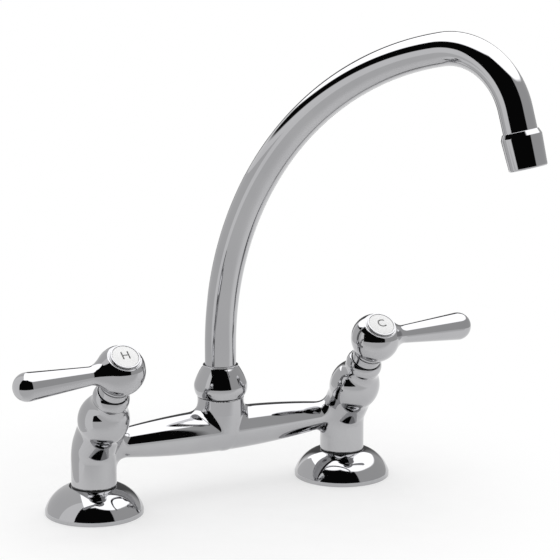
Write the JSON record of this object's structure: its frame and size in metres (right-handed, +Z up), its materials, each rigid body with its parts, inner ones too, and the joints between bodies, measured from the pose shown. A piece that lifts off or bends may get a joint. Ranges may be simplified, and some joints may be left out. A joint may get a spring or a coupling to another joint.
{
  "type": "bridge kitchen faucet",
  "caption": "Deck-standing bridge faucet: domed flanges and pillars joined by a bowed bridge, forward-leaning ball valves with side levers, and a high arched swivel spout with a round outlet.",
  "frame": {"origin": "on the deck plane, midway between the two inlet axes", "axes": "+X along the bridge from the hot to the cold pillar, -Y towards the user and the basin, +Z up"},
  "size_m": [0.3589, 0.2766, 0.3486],
  "materials": {
    "chrome_cast": "polished chrome on brass",
    "chrome_tube": "polished chrome on drawn tube",
    "porcelain": "glossy white glaze",
    "brass_turned": "machined",
    "disc_ceramic": "lapped",
    "black_rubber": "matt",
    "spring_steel": "bright",
    "white_plastic": "moulded"
  },
  "bodies": {
    "base": {"bridge_body": "chrome_cast", "hot_deck_flange": "chrome_cast", "hot_deck_gasket": "black_rubber", "hot_foot_seal": "black_rubber", "hot_seat_seal": "black_rubber", "hot_cartridge_body": "brass_turned", "hot_fixed_disc": "disc_ceramic", "cold_deck_flange": "chrome_cast", "cold_deck_gasket": "black_rubber", "cold_foot_seal": "black_rubber", "cold_seat_seal": "black_rubber", "cold_cartridge_body": "brass_turned", "cold_fixed_disc": "disc_ceramic", "spout_union": "chrome_cast", "spout_glide_ring": "white_plastic", "spout_base_washer": "white_plastic"},
    "spout": {"spout_tube": "chrome_tube", "spout_shank": "brass_turned", "spout_o_rings": "black_rubber", "outlet_nipple": "brass_turned", "aerator_housing": "chrome_cast", "aerator_washer": "black_rubber", "aerator_insert": "white_plastic", "aerator_screen": "spring_steel"},
    "hot_handle": {"hot_lever": "chrome_cast", "hot_cartridge_stem": "brass_turned", "hot_moving_disc": "disc_ceramic", "hot_stem_o_rings": "black_rubber", "hot_stem_circlip": "spring_steel", "hot_handle_screw": "spring_steel", "hot_index_ring": "chrome_cast", "hot_index_button": "porcelain"},
    "cold_handle": {"cold_lever": "chrome_cast", "cold_cartridge_stem": "brass_turned", "cold_moving_disc": "disc_ceramic", "cold_stem_o_rings": "black_rubber", "cold_stem_circlip": "spring_steel", "cold_handle_screw": "spring_steel", "cold_index_ring": "chrome_cast", "cold_index_button": "porcelain"}
  },
  "joints": [
    {"name": "spout_swivel", "type": "hinge", "parent": "base", "child": "spout", "pos_m": [0, 0, 0.0832], "axis": [0, 0, 1], "continuous": true},
    {"name": "hot_turn", "type": "hinge", "parent": "base", "child": "hot_handle", "pos_m": [-0.1, 0, 0.0465], "axis": [0, -0.5807, 0.8141], "range_deg": [0, 90]},
    {"name": "cold_turn", "type": "hinge", "parent": "base", "child": "cold_handle", "pos_m": [0.1, 0, 0.0465], "axis": [0, 0.5807, -0.8141], "range_deg": [0, 90]}
  ]
}
